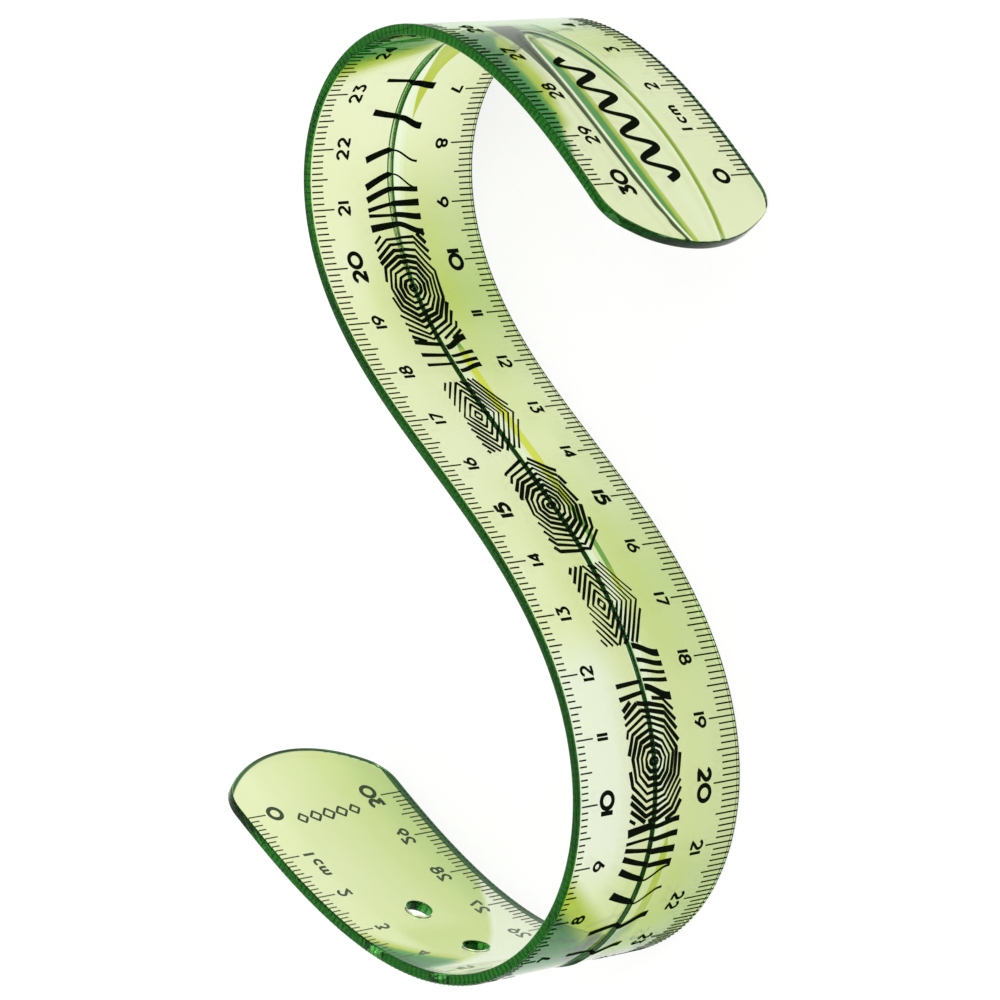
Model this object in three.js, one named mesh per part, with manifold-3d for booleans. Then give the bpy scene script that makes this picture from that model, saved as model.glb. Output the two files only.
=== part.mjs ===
// A flexible 30 cm ruler of clear green plastic, bent into an S and standing on one long edge.
// Millimetres, +Z up. The blade is one moulding; every other node is a patch of printed ink.
import * as THREE from 'three';
import { mergeVertices } from 'three/addons/utils/BufferGeometryUtils.js';
import Module from 'manifold-3d';

const wasm = await Module();
wasm.setup();

// ---- Driving dimensions ----
// "Along" is the place on the scale, 0 to 300. "Across" is the distance down from the upper edge.

const scaleLength = 300;
const width = 36;
const thickness = 1.8;
const facetLength = 2.5;

// Beyond the scale, each end is a shallow arc between two rounded corners.
const tipOverhang = 12.5;
const tipSagitta = 7.5;
const cornerRadius = 7;

// The two bends. Each is tightest at one place and eases off over its spread before and after it.
const bends = [
  { at: 59.5, radius: 21.2, before: 42.5, after: 78, side: 1 },
  { at: 230.5, radius: 28.7, before: 107, after: 53, side: -1 },
];
const middleHeading = THREE.MathUtils.degToRad(217.8);

// The low rib along the middle of the front face: one steep side, one long slope.
const rib = { from: 56, to: 241, foot: 17.4, crest: 17.75, slopeEnd: 22.4, height: 0.6, root: 0.4 };

// The rib and the print don't lie quite parallel to the edges. At each [along, drift] station they
// are moved across by the drift, and it changes gently from one station to the next.
const driftStations = [[70, -0.5], [105, -0.1], [230, -1.45], [250, 0]];

// The low oval frame on the back face, round the wave mark. The rounded end cuts through it.
const oval = { along: 10.5, across: 16.2, halfLength: 27, halfWidth: 6.8 };
const ovalRim = { foot: 0.6, top: 0.2, height: 0.12, root: 0.3, stations: 72 };

// Two holes for a pencil point, near the far end of the scale.
const pencilHoles = [257.6, 271.8];
const pencilHoleAcross = 16.6;
const pencilHoleRadius = 2.15;

// Printed ink. Each band is given as two distances across the blade.
const inkGap = 0.08;
const inkThickness = 0.1;
const scaleBands = {
  upper_ticks: [1.9, 5.3],
  upper_numerals: [5.5, 8.9],
  lower_numerals: [27.1, 30.5],
  lower_ticks: [30.7, 35.8],
};
const printOverhang = 2.5; // the last numerals reach this far past the ends of the scale
const backPrintEnd = 45; // the scale's first stretch is printed on the back face, the rest on the front
const patternBand = [12.2, 23.7];
const patternMotifs = [
  { name: 'bars_a', from: 65, to: 95 },
  { name: 'rings_a', from: 95, to: 120 },
  { name: 'diamonds_a', from: 120, to: 140 },
  { name: 'rings_b', from: 140, to: 160 },
  { name: 'diamonds_b', from: 162.5, to: 180 },
  { name: 'rings_c', from: 182.5, to: 205 },
  { name: 'bars_b', from: 205, to: 232.5 },
];
const waveMark = { from: 0, to: 27.5, band: [13.3, 20.7] };
const tipMark = { from: 295, to: 300, band: [10.4, 25] };

// ---- The bent centre line ----

// The curvature of a bend is a bell, 1 / (1 + u^2)^2, and this is the bell's integral.
function bellIntegral(u) {
  return (Math.atan(u) + u / (1 + u * u)) / 2;
}

function turnOf(bend, along) {
  const spread = along < bend.at ? bend.before : bend.after;
  return (bend.side * spread * bellIntegral((along - bend.at) / spread)) / bend.radius;
}

function headingAt(along) {
  const middle = scaleLength / 2;
  return bends.reduce((sum, bend) => sum + turnOf(bend, along) - turnOf(bend, middle), middleHeading);
}

const stride = 0.25;
const centrePoints = [new THREE.Vector3()];
for (let along = -tipOverhang; along < scaleLength + tipOverhang; along += stride) {
  const heading = headingAt(along + stride / 2);
  const step = new THREE.Vector3(Math.cos(heading), Math.sin(heading), 0).multiplyScalar(stride);
  centrePoints.push(step.add(centrePoints.at(-1)));
}

function pointAt(along) {
  const position = THREE.MathUtils.clamp((along + tipOverhang) / stride, 0, centrePoints.length - 1);
  const index = Math.min(Math.floor(position), centrePoints.length - 2);
  return centrePoints[index].clone().lerp(centrePoints[index + 1], position - index);
}

function driftAt(along) {
  const inside = THREE.MathUtils.clamp(along, driftStations[0][0], driftStations.at(-1)[0] - stride);
  const next = driftStations.findIndex(([at]) => inside < at);
  const [from, before] = driftStations[next - 1];
  const [to, after] = driftStations[next];
  return THREE.MathUtils.lerp(before, after, THREE.MathUtils.smoothstep(inside, from, to));
}

class CentreLine extends THREE.Curve {
  constructor(from, to, drifts) {
    super();
    this.from = from;
    this.to = to;
    this.drifts = drifts;
  }

  getPoint(t) {
    const along = THREE.MathUtils.lerp(this.from, this.to, t);
    return pointAt(along).setZ(this.drifts ? -driftAt(along) : 0);
  }

  getTangent(t) {
    const heading = headingAt(THREE.MathUtils.lerp(this.from, this.to, t));
    return new THREE.Vector3(Math.cos(heading), Math.sin(heading), 0);
  }

  getUtoTmapping(u) {
    return u; // t already runs evenly along the line
  }
}

// ---- Making solids ----

// Sweeps a profile of [across, height above mid-thickness] pairs; the front face has positive heights.
function sweep(profile, from, to, drifts = true) {
  const outline = profile.map(([across, height]) => new THREE.Vector2(across - width, height));
  return new THREE.ExtrudeGeometry(new THREE.Shape(outline), {
    steps: Math.round((to - from) / facetLength),
    extrudePath: new CentreLine(from, to, drifts),
    bevelEnabled: false,
  });
}

function toSolid(geometry) {
  const bare = geometry.clone();
  bare.deleteAttribute('normal');
  bare.deleteAttribute('uv');
  const merged = mergeVertices(bare);
  return new wasm.Manifold(new wasm.Mesh({
    numProp: 3,
    vertProperties: new Float32Array(merged.attributes.position.array),
    triVerts: new Uint32Array(merged.index.array),
  }));
}

function toGeometry(solid) {
  const mesh = solid.getMesh();
  const geometry = new THREE.BufferGeometry();
  geometry.setAttribute('position', new THREE.BufferAttribute(mesh.vertProperties, 3));
  geometry.setIndex(new THREE.BufferAttribute(mesh.triVerts, 1));
  const faceted = geometry.toNonIndexed();
  faceted.computeVertexNormals();
  return faceted;
}

// Stands a flat drawing (x along, y across, z out of a face) square to the blade at one place.
// Direction -1 turns it to face the other end of the scale.
function squareTo(geometry, along, direction = 1) {
  const heading = headingAt(along);
  const ahead = new THREE.Vector3(Math.cos(heading), Math.sin(heading), 0).multiplyScalar(direction);
  const down = new THREE.Vector3(0, 0, -1);
  const out = new THREE.Vector3().crossVectors(ahead, down);
  const place = new THREE.Matrix4().makeBasis(ahead, down, out);
  place.setPosition(pointAt(along).setZ(width));
  return geometry.applyMatrix4(place);
}

// ---- The blade ----

// What comes off one end: a plate with the rounded end left out of it. x is 0 at the tip.
function tipCutter() {
  const half = width / 2;
  const margin = 6;
  const arcRadius = (half ** 2 + tipSagitta ** 2) / (2 * tipSagitta);
  const inset = half - cornerRadius;
  const cornerX = arcRadius - Math.sqrt((arcRadius - cornerRadius) ** 2 - inset ** 2);
  const touchAngle = Math.asin(inset / (arcRadius - cornerRadius));
  const plate = new THREE.Shape();
  plate.moveTo(-margin, -margin);
  plate.lineTo(cornerX, -margin);
  plate.lineTo(cornerX, 0);
  plate.absarc(cornerX, cornerRadius, cornerRadius, -Math.PI / 2, touchAngle - Math.PI, true);
  plate.absarc(arcRadius, half, arcRadius, touchAngle - Math.PI, Math.PI - touchAngle, true);
  plate.absarc(cornerX, width - cornerRadius, cornerRadius, Math.PI - touchAngle, Math.PI / 2, true);
  plate.lineTo(cornerX, width + margin);
  plate.lineTo(-margin, width + margin);
  const plateDepth = 12;
  const geometry = new THREE.ExtrudeGeometry(plate, {
    depth: plateDepth,
    curveSegments: 10,
    bevelEnabled: false,
  });
  return geometry.translate(0, 0, -plateDepth / 2);
}

function holeCutter(along) {
  const cutterLength = 8;
  const drill = new THREE.CylinderGeometry(pencilHoleRadius, pencilHoleRadius, cutterLength, 24);
  drill.rotateX(Math.PI / 2).translate(0, pencilHoleAcross, 0);
  return squareTo(drill, along);
}

// A place on the bent blade, from its place along, across and away from mid-thickness.
function bentPoint(along, across, height) {
  const heading = headingAt(along);
  const out = new THREE.Vector3(-Math.sin(heading), Math.cos(heading), 0);
  return pointAt(along).setZ(width - across).addScaledVector(out, height);
}

// The oval frame: a low ridge swept from the rounded end, round the oval and back to the end.
function ovalFrame() {
  const { foot, top, height, root, stations } = ovalRim;
  const inner = -thickness / 2 + root;
  const outer = -thickness / 2 - height;
  const profile = [[foot, inner], [-foot, inner], [-top, outer], [top, outer]];
  const start = Math.acos((-tipOverhang - oval.along) / oval.halfLength);
  const places = [];
  for (let station = 0; station <= stations; station += 1) {
    const angle = start - (2 * start * station) / stations;
    const alongOut = Math.cos(angle) / oval.halfLength;
    const acrossOut = Math.sin(angle) / oval.halfWidth;
    const size = Math.hypot(alongOut, acrossOut);
    for (const [aside, level] of profile) {
      const along = oval.along + oval.halfLength * Math.cos(angle) + (aside * alongOut) / size;
      const across = oval.across + oval.halfWidth * Math.sin(angle) + (aside * acrossOut) / size;
      places.push(...bentPoint(along, across, level).toArray());
    }
  }
  const corners = profile.length;
  const faces = [0, 2, 1, 0, 3, 2];
  for (let station = 0; station < stations; station += 1) {
    for (let corner = 0; corner < corners; corner += 1) {
      const a = station * corners + corner;
      const b = station * corners + ((corner + 1) % corners);
      faces.push(a, b, b + corners, a, b + corners, a + corners);
    }
  }
  const end = stations * corners;
  faces.push(end, end + 1, end + 2, end, end + 2, end + 3);
  const geometry = new THREE.BufferGeometry();
  geometry.setAttribute('position', new THREE.Float32BufferAttribute(places, 3));
  geometry.setIndex(faces);
  return geometry;
}

function bladeGeometry() {
  const half = thickness / 2;
  const slab = [[0, -half], [width, -half], [width, half], [0, half]];
  const wedge = [
    [rib.foot, half - rib.root],
    [rib.slopeEnd, half - rib.root],
    [rib.slopeEnd, half],
    [rib.crest, half + rib.height],
    [rib.foot, half],
  ];
  const start = -tipOverhang;
  const end = scaleLength + tipOverhang;
  const cutters = [squareTo(tipCutter(), start), squareTo(tipCutter(), end, -1)];
  cutters.push(...pencilHoles.map(holeCutter));
  const ridges = [sweep(wedge, rib.from, rib.to), ovalFrame()];
  const joined = wasm.Manifold.union([sweep(slab, start, end, false), ...ridges].map(toSolid));
  return toGeometry(joined.subtract(wasm.Manifold.union(cutters.map(toSolid))));
}

// ---- The printed ink ----

// A patch on the front face follows the rib where it crosses it; one on the back face is flat.
function inkPatch([near, far], from, to, face = 'front') {
  const low = thickness / 2 + inkGap;
  const ribPoints = [[rib.foot, 0], [rib.crest, rib.height], [rib.slopeEnd, 0]];
  const crossed = face === 'front' ? ribPoints.filter(([across]) => across > near && across < far) : [];
  const under = [[near, 0], ...crossed, [far, 0]];
  const sign = face === 'front' ? 1 : -1;
  const lower = under.map(([across, rise]) => [across, sign * (low + rise)]);
  const upper = under.map(([across, rise]) => [across, sign * (low + rise + inkThickness)]);
  return sweep([...lower, ...upper.reverse()], from, to);
}

// ---- Assembly ----

const plastic = new THREE.MeshStandardMaterial({ color: 0xb8d66a, roughness: 0.12, metalness: 0 });
const ink = new THREE.MeshStandardMaterial({ color: 0x1c2115, roughness: 0.55, metalness: 0 });
const ruler = new THREE.Group();

function addPart(name, geometry, material) {
  const mesh = new THREE.Mesh(geometry, material);
  mesh.name = name;
  ruler.add(mesh);
}

addPart('blade', bladeGeometry(), plastic);
for (const [band, reach] of Object.entries(scaleBands)) {
  const overhang = band.endsWith('numerals') ? printOverhang : 0;
  addPart(`ink_${band}`, inkPatch(reach, backPrintEnd, scaleLength + overhang), ink);
  addPart(`ink_${band}_back`, inkPatch(reach, -overhang, backPrintEnd, 'back'), ink);
}
for (const motif of patternMotifs) {
  addPart(`ink_${motif.name}`, inkPatch(patternBand, motif.from, motif.to), ink);
}
addPart('ink_wave_mark', inkPatch(waveMark.band, waveMark.from, waveMark.to, 'back'), ink);
addPart('ink_tip_mark', inkPatch(tipMark.band, tipMark.from, tipMark.to), ink);

// The origin is under the middle of the whole ruler.
const bladeBox = new THREE.Box3().setFromObject(ruler.getObjectByName('blade'));
const middle = bladeBox.getCenter(new THREE.Vector3());
ruler.position.set(-middle.x, -middle.y, 0);

export default ruler;
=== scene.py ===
# A flexible 30 cm ruler of clear green plastic, bent into an S and standing on one long edge.
# Lengths in this file are millimetres until place() turns them into metres in the CAD frame.
import math
import random

import bpy
from mathutils import Matrix, Vector


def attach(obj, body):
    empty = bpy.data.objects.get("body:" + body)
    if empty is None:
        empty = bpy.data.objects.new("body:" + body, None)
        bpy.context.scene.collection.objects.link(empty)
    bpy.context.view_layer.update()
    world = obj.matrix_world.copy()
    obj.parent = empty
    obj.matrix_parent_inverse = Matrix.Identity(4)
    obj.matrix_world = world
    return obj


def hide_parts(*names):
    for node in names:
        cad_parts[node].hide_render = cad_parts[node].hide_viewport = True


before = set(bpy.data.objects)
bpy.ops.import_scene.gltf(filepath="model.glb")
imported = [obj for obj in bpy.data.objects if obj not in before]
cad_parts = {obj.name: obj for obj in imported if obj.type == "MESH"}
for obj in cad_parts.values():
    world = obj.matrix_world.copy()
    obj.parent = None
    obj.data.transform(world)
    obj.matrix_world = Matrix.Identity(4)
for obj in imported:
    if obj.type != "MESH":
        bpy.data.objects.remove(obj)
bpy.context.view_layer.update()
MM = 0.001

# ---- Driving dimensions, the same as the CAD model's ----
# "Along" is the place on the scale, 0 to 300. "Across" is the distance down from the upper edge.
# "Height" is the distance from mid-thickness, positive on the front face.

SCALE_LENGTH = 300.0
WIDTH = 36.0
THICKNESS = 1.8
TIP_OVERHANG = 12.5
TIP_SAGITTA = 7.5
CORNER_RADIUS = 7.0
BENDS = [
    # tightest at, radius there, spread before, spread after, side
    (59.5, 21.2, 42.5, 78.0, 1),
    (230.5, 28.7, 107.0, 53.0, -1),
]
MIDDLE_HEADING = math.radians(217.8)
RIB_FROM, RIB_TO = 56.0, 241.0
RIB_FOOT, RIB_CREST, RIB_SLOPE_END, RIB_HEIGHT = 17.4, 17.75, 22.4, 0.6
RIB_END_TAPER = 7.0
RIB_SLOPE_SOFT = 0.08
DRIFT_STATIONS = [(70.0, -0.5), (105.0, -0.1), (230.0, -1.45), (250.0, 0.0)]
OVAL_ALONG, OVAL_ACROSS, OVAL_LENGTH, OVAL_WIDTH = 10.5, 16.2, 27.0, 6.8
OVAL_FOOT, OVAL_TOP, OVAL_HEIGHT = 0.6, 0.15, 0.12
PENCIL_HOLES = (257.6, 271.8)
HOLE_ACROSS = 16.6
HOLE_RADIUS = 2.15
BACK_PRINT_END = 45.0


# ---- The bent centre line ----


def bell_integral(u):
    return (math.atan(u) + u / (1 + u * u)) / 2


def turn_of(bend, along):
    at, radius, before, after, side = bend
    spread = before if along < at else after
    return side * spread * bell_integral((along - at) / spread) / radius


def heading_at(along):
    middle = SCALE_LENGTH / 2
    return MIDDLE_HEADING + sum(turn_of(b, along) - turn_of(b, middle) for b in BENDS)


STRIDE = 0.25
LINE_START = -TIP_OVERHANG - 1.0
line = [(0.0, 0.0)]
for i in range(round((SCALE_LENGTH + 2 * TIP_OVERHANG + 2.0) / STRIDE)):
    turned = heading_at(LINE_START + (i + 0.5) * STRIDE)
    line.append((line[-1][0] + math.cos(turned) * STRIDE, line[-1][1] + math.sin(turned) * STRIDE))


def flat_to_bent(along, across, height):
    position = (along - LINE_START) / STRIDE
    index = min(max(int(position), 0), len(line) - 2)
    share = position - index
    x = line[index][0] * (1 - share) + line[index + 1][0] * share
    y = line[index][1] * (1 - share) + line[index + 1][1] * share
    turned = heading_at(along)
    return x - math.sin(turned) * height, y + math.cos(turned) * height, WIDTH - across


def smooth(low, high, value):
    t = min(max((value - low) / (high - low), 0.0), 1.0)
    return t * t * (3 - 2 * t)


def drift_at(along):
    """How far the rib and the print are moved across at one place along the scale."""
    drift = DRIFT_STATIONS[0][1]
    for (start, before), (stop, after) in zip(DRIFT_STATIONS, DRIFT_STATIONS[1:]):
        drift += (after - before) * smooth(start, stop, along)
    return drift


def oval_gap(along, across):
    """The distance to the oval frame's centre line, negative inside the oval."""
    x, y = (along - OVAL_ALONG) / OVAL_LENGTH, (across - OVAL_ACROSS) / OVAL_WIDTH
    size = max(math.hypot(x, y), 0.01)
    slope = max(math.hypot(x / OVAL_LENGTH, y / OVAL_WIDTH), 0.001) / size
    return (size - 1) / slope


def back_rise(along, across):
    """How far the oval frame stands out from the back face at one place."""
    return OVAL_HEIGHT * (1 - smooth(OVAL_TOP, OVAL_FOOT, abs(oval_gap(along, across))))


def rib_rise(along, across):
    """How far the rib stands above the front face at one place across, drift left out."""
    if not RIB_FOOT - 0.2 < across < RIB_SLOPE_END + 0.4 or not RIB_FROM < along < RIB_TO:
        return 0.0
    up = smooth(RIB_FOOT, RIB_CREST, across)
    down = (RIB_SLOPE_END - across) / (RIB_SLOPE_END - RIB_CREST)
    if down > RIB_SLOPE_SOFT:
        down = min(1.0, down)
    else:
        down = RIB_SLOPE_SOFT * math.exp(min(0.0, (down - RIB_SLOPE_SOFT) / RIB_SLOPE_SOFT))
    begins = smooth(RIB_FROM, RIB_FROM + RIB_END_TAPER, along)
    ends = 1 - smooth(RIB_TO - RIB_END_TAPER, RIB_TO, along)
    return RIB_HEIGHT * min(up, down) * (begins * ends)


# The origin is under the middle of the blade's box, with the rib at its full height to its ends.
reach = []
for i in range(round(2 * (SCALE_LENGTH + 2 * TIP_OVERHANG)) + 1):
    s = -TIP_OVERHANG + i * 0.5
    crest = RIB_HEIGHT if RIB_FROM <= s <= RIB_TO else 0.0
    reach.append(flat_to_bent(s, 0, -THICKNESS / 2))
    reach.append(flat_to_bent(s, 0, THICKNESS / 2 + crest))
MID_X = (min(p[0] for p in reach) + max(p[0] for p in reach)) / 2
MID_Y = (min(p[1] for p in reach) + max(p[1] for p in reach)) / 2


def place(along, across, height):
    x, y, z = flat_to_bent(along, across, height)
    return ((x - MID_X) * MM, (y - MID_Y) * MM, z * MM)


# ---- Building meshes ----


class Solid:
    """Vertices given flat, as (along, across, height), with faces. make() bends them."""

    def __init__(self):
        self.points = []
        self.faces = []

    def add(self, along, across, height):
        self.points.append((along, across, height))
        return len(self.points) - 1

    def face(self, *corners):
        self.faces.append(corners)

    def make(self, name, material, smooth_faces=False):
        mesh = bpy.data.meshes.new(name)
        mesh.from_pydata([place(*p) for p in self.points], [], self.faces)
        layer = mesh.uv_layers.new(name="flat")
        face_side = mesh.uv_layers.new(name="side")
        for loop in mesh.loops:
            along, across, height = self.points[loop.vertex_index]
            layer.data[loop.index].uv = (along / 100, across / 100)
            nominal = across - drift_at(along)
            face_side.data[loop.index].uv = (0.5 + height / THICKNESS, nominal / 100)
        mesh.materials.append(material)
        mesh.polygons.foreach_set("use_smooth", [smooth_faces] * len(mesh.polygons))
        mesh.validate()
        mesh.update()
        piece = bpy.data.objects.new(name, mesh)
        bpy.context.scene.collection.objects.link(piece)
        return piece


# ---- The blade ----

EDGE_ROUND = 0.3
HOLE_ROUND = 0.25
ROUND_STEPS = 4
HOLE_BLOCK_ALONG, HOLE_BLOCK_ACROSS = 4.6, 4.1
HOLE_RING_SHARES = (0.3, 0.6, 0.82, 1.0)
CORNER_COLUMN_TURNS = (0, 6, 13, 21, 30, 40)
# Columns between these places and the edges stay straight; the ones in the middle follow the drift.
UPPER_FOLLOW, LOWER_FOLLOW = (2.2, 8.0), (28.0, 33.8)

half_width = WIDTH / 2
arc_radius = (half_width**2 + TIP_SAGITTA**2) / (2 * TIP_SAGITTA)
corner_inset = half_width - CORNER_RADIUS
corner_x = arc_radius - math.sqrt((arc_radius - CORNER_RADIUS) ** 2 - corner_inset**2)
touch = math.asin(corner_inset / (arc_radius - CORNER_RADIUS))


def tip_depth(across, inset):
    """How far the rounded end, moved in by inset, lies behind the tip at one place across."""
    off = abs(across - half_width)
    if off <= (arc_radius - inset) * math.sin(touch):
        return arc_radius - math.sqrt((arc_radius - inset) ** 2 - off**2)
    down = min(off - corner_inset, CORNER_RADIUS - inset)
    return corner_x - math.sqrt(max((CORNER_RADIUS - inset) ** 2 - down**2, 0.0))


def tip_normal(across, inset):
    """The outward direction (towards the tip, across) of the rounded end at one place across."""
    off = across - half_width
    side = 1 if off > 0 else -1
    if abs(off) <= (arc_radius - inset) * math.sin(touch):
        out = (arc_radius - tip_depth(across, inset), off)
    else:
        out = (corner_x - tip_depth(across, inset), off - side * corner_inset)
    size = math.hypot(*out)
    return out[0] / size, out[1] / size


def blade_columns():
    corner = [
        half_width - corner_inset - (CORNER_RADIUS - EDGE_ROUND) * math.cos(turned)
        for turned in [math.radians(a) for a in CORNER_COLUMN_TURNS]
    ]
    plain = [2.2, 3.0, 4.0, 5.0, 6.0, 7.0, 8.0]
    left = [8.6 + 0.3 * k for k in range(29)]
    ridge = [17.2, 17.3, 17.4, 17.5, 17.6, 17.7, 17.8, 17.9, 18.0, 18.2]
    slope = [18.5 + 0.3 * k for k in range(21)]
    rest = [25.2, 26.0, 27.0, 28.0, 29.0, 30.0, 31.0, 32.0, 33.0, 33.8]
    return corner + plain + left + ridge + slope + rest + [WIDTH - a for a in reversed(corner)]


def blade_rows():
    """Rows 1 mm apart, and closer together round the end of the oval frame."""
    close_from, close_to, per_mm = 35.5, 42.5, 3
    first = [-TIP_OVERHANG + k for k in range(round(close_from + TIP_OVERHANG))]
    close = [close_from + k / per_mm for k in range(round((close_to - close_from) * per_mm))]
    rest = [close_to + k for k in range(round(SCALE_LENGTH + TIP_OVERHANG - close_to) + 1)]
    return first + close + rest


COLUMNS = blade_columns()
ROW_PLACES = blade_rows()
ROWS = len(ROW_PLACES)
END_BLEND = 24.0


def row_along(row, across):
    """Rows follow the rounded ends and straighten out over END_BLEND."""
    along = ROW_PLACES[row]
    depth = tip_depth(across, EDGE_ROUND)
    first = max(0.0, 1 - (along + TIP_OVERHANG) / END_BLEND)
    last = max(0.0, 1 - (SCALE_LENGTH + TIP_OVERHANG - along) / END_BLEND)
    return along + depth * first - depth * last


def hole_block(hole):
    """The rows and columns of the square patch of grid around a hole."""
    rows = [r for r in range(ROWS) if abs(ROW_PLACES[r] - hole) <= HOLE_BLOCK_ALONG]
    cols = [c for c, a in enumerate(COLUMNS) if abs(a - HOLE_ACROSS) <= HOLE_BLOCK_ACROSS]
    return rows[0], rows[-1], cols[0], cols[-1]


def ring_of(rows, cols):
    """The grid places round a block, in order."""
    r0, r1, c0, c1 = rows[0], rows[1], cols[0], cols[1]
    ring = [(r0, c) for c in range(c0, c1)]
    ring += [(r, c1) for r in range(r0, r1)]
    ring += [(r1, c) for c in range(c1, c0, -1)]
    ring += [(r, c0) for r in range(r1, r0, -1)]
    return ring


def build_blade(material):
    solid = Solid()
    half = THICKNESS / 2
    blocks = [hole_block(hole) for hole in PENCIL_HOLES]
    sheets = {}
    for sign in (1, -1):
        grid = {}
        for row in range(ROWS):
            for col, across in enumerate(COLUMNS):
                if any(r0 < row < r1 and c0 < col < c1 for r0, r1, c0, c1 in blocks):
                    continue
                along = row_along(row, across)
                follow = smooth(*UPPER_FOLLOW, across) * (1 - smooth(*LOWER_FOLLOW, across))
                moved = across + drift_at(along) * follow
                rise = rib_rise(along, across) if sign > 0 else back_rise(along, moved)
                grid[row, col] = solid.add(along, moved, sign * (half + rise))
        for row in range(ROWS - 1):
            for col in range(len(COLUMNS) - 1):
                if any(r0 <= row < r1 and c0 <= col < c1 for r0, r1, c0, c1 in blocks):
                    continue
                quad = [grid[row, col], grid[row + 1, col]]
                quad += [grid[row + 1, col + 1], grid[row, col + 1]]
                solid.face(*(quad if sign > 0 else quad[::-1]))
        sheets[sign] = grid

    # The walls of the holes, and the rings that join each square block to its round hole.
    for hole, (r0, r1, c0, c1) in zip(PENCIL_HOLES, blocks):
        ring = ring_of((r0, r1), (c0, c1))
        loops = []
        for sign in (1, -1):
            outer = [sheets[sign][key] for key in ring]
            steps = [outer]
            for share in HOLE_RING_SHARES:
                loop = []
                for index in outer:
                    along, across, height = solid.points[index]
                    angle = math.atan2(across - HOLE_ACROSS, along - hole)
                    lip = HOLE_RADIUS + HOLE_ROUND
                    rim = (hole + lip * math.cos(angle), HOLE_ACROSS + lip * math.sin(angle))
                    loop.append(solid.add(
                        along + (rim[0] - along) * share, across + (rim[1] - across) * share, height
                    ))
                steps.append(loop)
            for turn in range(1, ROUND_STEPS + 1):
                phi = turn * math.pi / 2 / ROUND_STEPS
                loop = []
                for index in steps[-1] if turn == 1 else rim_base:
                    along, across, height = solid.points[index]
                    angle = math.atan2(across - HOLE_ACROSS, along - hole)
                    radius = HOLE_RADIUS + HOLE_ROUND * (1 - math.sin(phi))
                    drop = HOLE_ROUND * (1 - math.cos(phi))
                    loop.append(solid.add(
                        hole + radius * math.cos(angle),
                        HOLE_ACROSS + radius * math.sin(angle),
                        sign * (half - drop),
                    ))
                if turn == 1:
                    rim_base = steps[-1]
                steps.append(loop)
            loops.append(steps)
        count = len(ring)
        for steps, flip in ((loops[0], False), (loops[1], True)):
            for outer, inner in zip(steps, steps[1:]):
                for i in range(count):
                    j = (i + 1) % count
                    quad = [outer[i], outer[j], inner[j], inner[i]]
                    solid.face(*(quad if flip else quad[::-1]))
        for i in range(count):
            j = (i + 1) % count
            front, back = loops[0][-1], loops[1][-1]
            solid.face(front[j], front[i], back[i], back[j])

    # The rounded wall round the outside.
    last = len(COLUMNS) - 1
    ring = ring_of((0, ROWS - 1), (0, last))

    def outward(row, col):
        if row in (0, ROWS - 1):
            towards, sideways = tip_normal(COLUMNS[col], EDGE_ROUND)
            return (-towards if row == 0 else towards), sideways
        return 0.0, (-1.0 if col == 0 else 1.0)

    stacks = {}
    for sign in (1, -1):
        base = [sheets[sign][key] for key in ring]
        steps = [base]
        for turn in range(1, ROUND_STEPS + 1):
            phi = turn * math.pi / 2 / ROUND_STEPS
            loop = []
            for index, key in zip(base, ring):
                along, across, height = solid.points[index]
                out = outward(*key)
                grow = EDGE_ROUND * math.sin(phi)
                loop.append(solid.add(
                    along + out[0] * grow,
                    across + out[1] * grow,
                    sign * (half - EDGE_ROUND * (1 - math.cos(phi))),
                ))
            steps.append(loop)
        stacks[sign] = steps
    count = len(ring)
    for sign in (1, -1):
        for inner, outer in zip(stacks[sign], stacks[sign][1:]):
            for i in range(count):
                j = (i + 1) % count
                quad = [inner[i], inner[j], outer[j], outer[i]]
                solid.face(*(quad if sign > 0 else quad[::-1]))
    front, back = stacks[1][-1], stacks[-1][-1]
    for i in range(count):
        j = (i + 1) % count
        solid.face(front[i], front[j], back[j], back[i])
    return solid.make("clear_blade", material, smooth_faces=True)


# ---- The printed ink ----

INK_GAP = 0.04
INK_THICKNESS = 0.05


def ink_height(along, across, sign):
    rise = rib_rise(along, across - drift_at(along)) if sign > 0 else back_rise(along, across)
    return THICKNESS / 2 + INK_GAP + rise


def ribbon(solid, path, widths, sign, closed=False):
    """A thin solid stroke along a path of (along, across) places, with a width at each."""
    count = len(path)
    stations = []
    for i, (along, across) in enumerate(path):
        before = path[i - 1] if i or closed else path[i]
        after = path[(i + 1) % count] if i < count - 1 or closed else path[i]
        run = (after[0] - before[0], after[1] - before[1])
        size = math.hypot(*run) or 1.0
        side = (-run[1] / size, run[0] / size)
        half = widths[i] / 2
        corners = []
        for way in (1, -1):
            a, c = along + side[0] * half * way, across + side[1] * half * way
            low = ink_height(a, c, sign)
            corners.append(solid.add(a, c, sign * low))
            corners.append(solid.add(a, c, sign * (low + INK_THICKNESS)))
        stations.append(corners)
    pairs = list(zip(stations, stations[1:]))
    if closed:
        pairs.append((stations[-1], stations[0]))
    for (al, ah, bl, bh), (cl, ch, dl, dh) in pairs:
        walls = [(ah, ch, dh, bh), (al, bl, dl, cl), (al, cl, ch, ah), (bl, bh, dh, dl)]
        for quad in walls:
            solid.face(*(quad if sign < 0 else quad[::-1]))
    if not closed:
        al, ah, bl, bh = stations[0]
        cl, ch, dl, dh = stations[-1]
        for quad in [(al, ah, bh, bl), (cl, dl, dh, ch)]:
            solid.face(*(quad if sign < 0 else quad[::-1]))


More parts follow.
